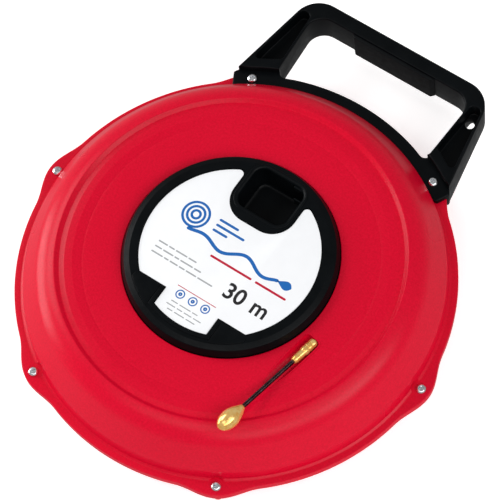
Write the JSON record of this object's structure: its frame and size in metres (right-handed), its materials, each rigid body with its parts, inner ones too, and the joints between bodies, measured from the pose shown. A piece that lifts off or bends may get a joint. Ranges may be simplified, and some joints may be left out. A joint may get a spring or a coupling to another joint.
{
  "type": "fish tape reel",
  "caption": "Flat round cable-pulling reel with a two-shell case, carrying handle, turning centre disc with finger pocket, inner drum of stiff tape and a brass-tipped leader.",
  "frame": {"origin": "on the drum's axis, in the plane that the case lies on when its front face is up", "axes": "+Z along the drum's axis out of the front face, +Y from the axis towards the handle, +X to the right"},
  "size_m": [0.3426, 0.3907, 0.1006],
  "materials": {
    "case": "moulded, fine texture on the face, satin gloss on the shoulder",
    "moulding": "black moulding, satin",
    "grip": "matt",
    "label": "printed film",
    "polymer": "natural polymer",
    "steel": "zinc plated",
    "brass": "polished, lightly tarnished",
    "spring": "blackened close-wound wire",
    "tape": "coated fibreglass rod"
  },
  "bodies": {
    "case": {"front_shell": "case", "rear_shell": "case", "handle": "moulding", "grip_insert": "grip", "case_screw_1": "steel", "case_screw_2": "steel", "case_screw_3": "steel", "case_screw_4": "steel", "case_screw_5": "steel", "case_screw_6": "steel", "axle_pin": "steel", "thrust_washer": "polymer", "wave_washer": "steel", "retaining_washer": "steel", "axle_screw": "steel", "tape_run": "tape"},
    "rotor": {"winding_disc": "moulding", "disc_label": "label", "drum": "polymer", "axle_bush": "polymer", "disc_screw_1": "steel", "disc_screw_2": "steel", "disc_screw_3": "steel", "disc_screw_4": "steel", "tape_coil": "tape", "tape_clamp": "polymer", "clamp_screw": "steel"},
    "tape_end": {"tape_lead": "tape", "end_sleeve": "brass", "leader_spring": "spring", "leader_tip": "brass"}
  },
  "joints": [
    {"name": "drum_spin", "type": "hinge", "parent": "case", "child": "rotor", "pos_m": [0, 0, 0], "axis": [0, 0, 1], "continuous": true},
    {"name": "tape_pull", "type": "slide", "parent": "case", "child": "tape_end", "axis": [-0.1659, -0.9768, 0.1352], "range_m": [0, 0.05]}
  ]
}
